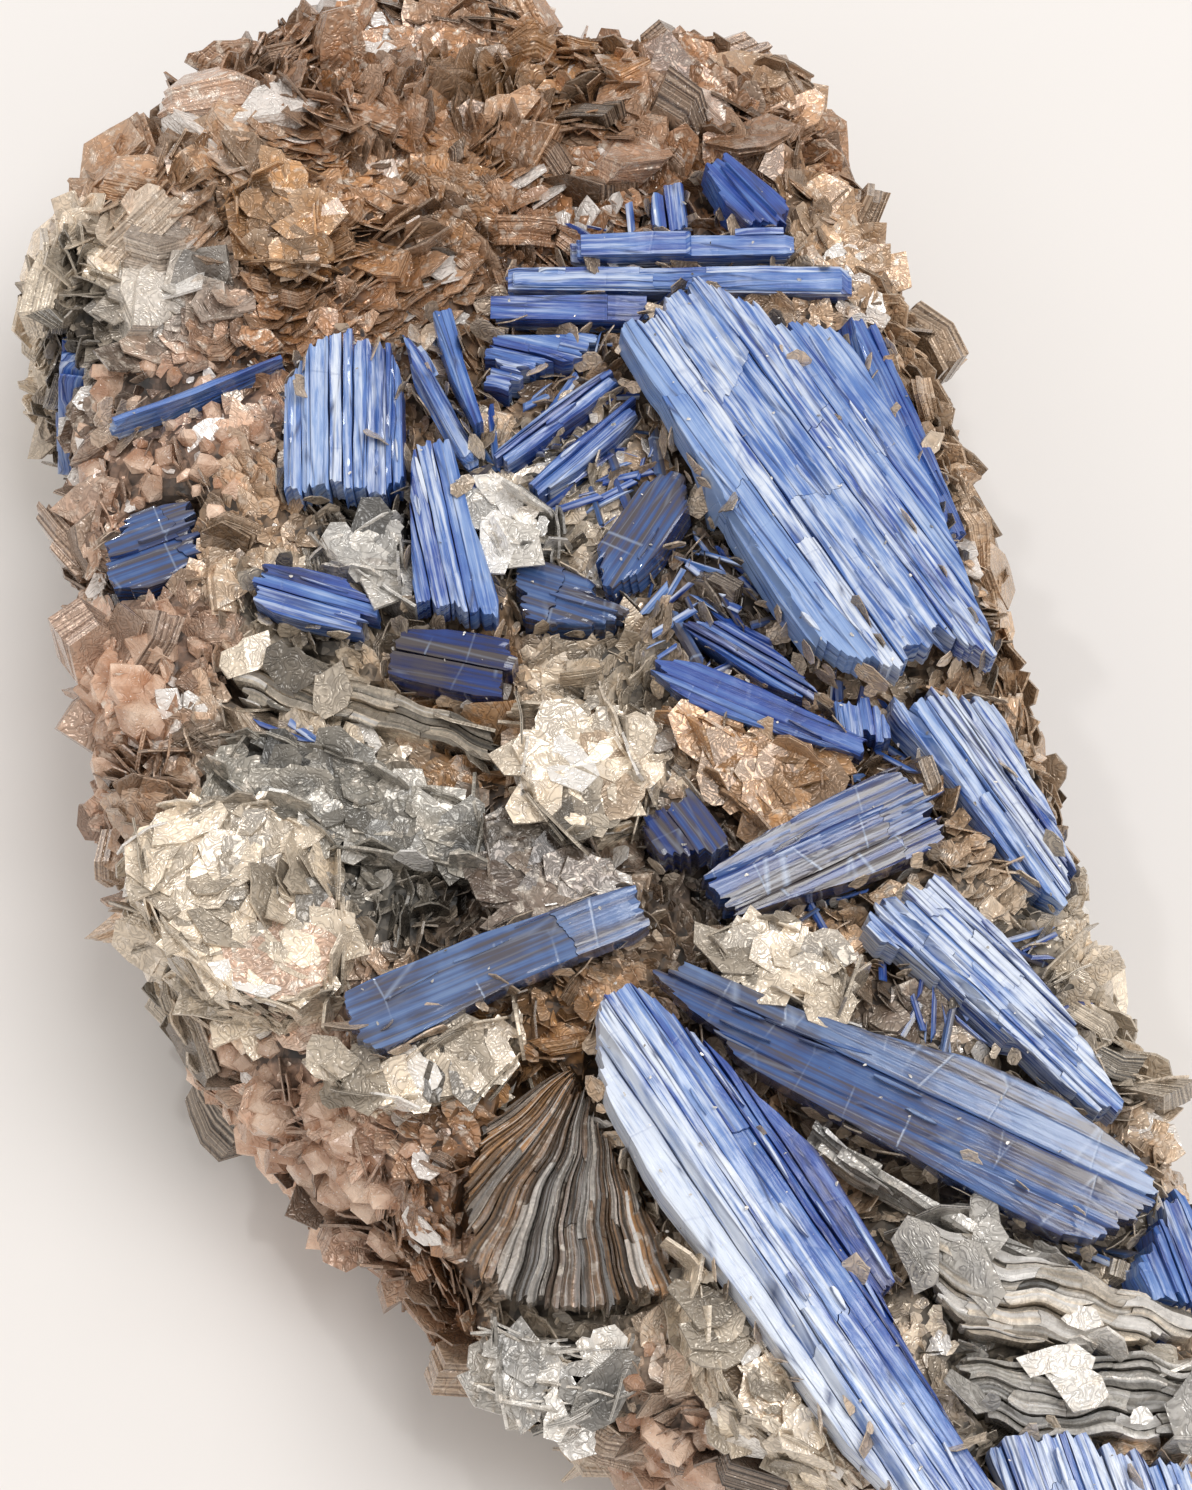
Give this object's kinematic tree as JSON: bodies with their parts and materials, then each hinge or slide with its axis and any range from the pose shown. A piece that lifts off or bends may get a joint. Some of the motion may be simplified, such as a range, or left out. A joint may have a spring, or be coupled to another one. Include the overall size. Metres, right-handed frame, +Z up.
{
  "type": "mineral specimen",
  "caption": "Loose hand specimen of kyanite: long blue blades crossing over books of brown and silver mica in a flat-bottomed block.",
  "frame": {"origin": "on the flat underside, at the middle of the block's plan", "axes": "+Z up from the underside, +Y along the specimen's length towards its broad brown end, +X across it"},
  "size_m": [0.0918, 0.1351, 0.0359],
  "materials": {
    "kyanite_pale": "gloss",
    "kyanite_blue": "gloss",
    "kyanite_indigo": "gloss",
    "mica_silver": "gloss",
    "mica_tan": "satin",
    "mica_rock": "satin"
  },
  "bodies": {
    "root": {"kyanite_arrow_blade": "kyanite_blue", "kyanite_comb_panel": "kyanite_pale", "kyanite_corner_blade": "kyanite_blue", "kyanite_corner_block": "kyanite_blue", "kyanite_crossing_blade": "kyanite_blue", "kyanite_curved_blade": "kyanite_blue", "kyanite_dark_needle": "kyanite_indigo", "kyanite_dark_splinter": "kyanite_indigo", "kyanite_fan_step": "kyanite_blue", "kyanite_fan_tail": "kyanite_blue", "kyanite_far_wall_blade": "kyanite_blue", "kyanite_front_apron": "kyanite_pale", "kyanite_front_wall_blade": "kyanite_indigo", "kyanite_great_blade": "kyanite_blue", "kyanite_great_fan": "kyanite_pale", "kyanite_indigo_block": "kyanite_indigo", "kyanite_knot": "kyanite_blue", "kyanite_left_ray": "kyanite_blue", "kyanite_left_wall_blade": "kyanite_indigo", "kyanite_long_blade": "kyanite_blue", "kyanite_lower_bar": "kyanite_blue", "kyanite_lower_splinter": "kyanite_blue", "kyanite_middle_bar": "kyanite_blue", "kyanite_needle": "kyanite_blue", "kyanite_pebble": "kyanite_blue", "kyanite_quartz_patch": "kyanite_blue", "kyanite_right_sheaf": "kyanite_pale", "kyanite_right_wall_blade": "kyanite_blue", "kyanite_right_wall_splinter": "kyanite_blue", "kyanite_rim_blade": "kyanite_blue", "kyanite_sliver": "kyanite_blue", "kyanite_small_block": "kyanite_blue", "kyanite_smoky_blade": "kyanite_blue", "kyanite_standing_blade": "kyanite_blue", "kyanite_stub": "kyanite_indigo", "kyanite_tail_wall_blade": "kyanite_blue", "kyanite_top_bar": "kyanite_blue", "kyanite_upper_splinter": "kyanite_blue", "mica_amber_sheet": "mica_tan", "mica_brown_lump": "mica_tan", "mica_cream_book": "mica_tan", "mica_cream_flower": "mica_tan", "mica_fan_book": "mica_tan", "mica_far_wall_book": "mica_tan", "mica_grey_sheet": "mica_silver", "mica_grey_shingles": "mica_silver", "mica_left_wall_book": "mica_tan", "mica_matrix": "mica_rock", "mica_pale_leaf": "mica_tan", "mica_scalloped_book": "mica_tan", "mica_silver_book": "mica_silver", "mica_silver_ribbon": "mica_silver", "mica_silver_stack": "mica_silver", "mica_smoky_sheet": "mica_tan", "mica_wavy_stack": "mica_silver", "mica_white_curl": "mica_silver", "mica_white_fold": "mica_silver", "mica_white_foot": "mica_silver"}
  },
  "joints": []
}
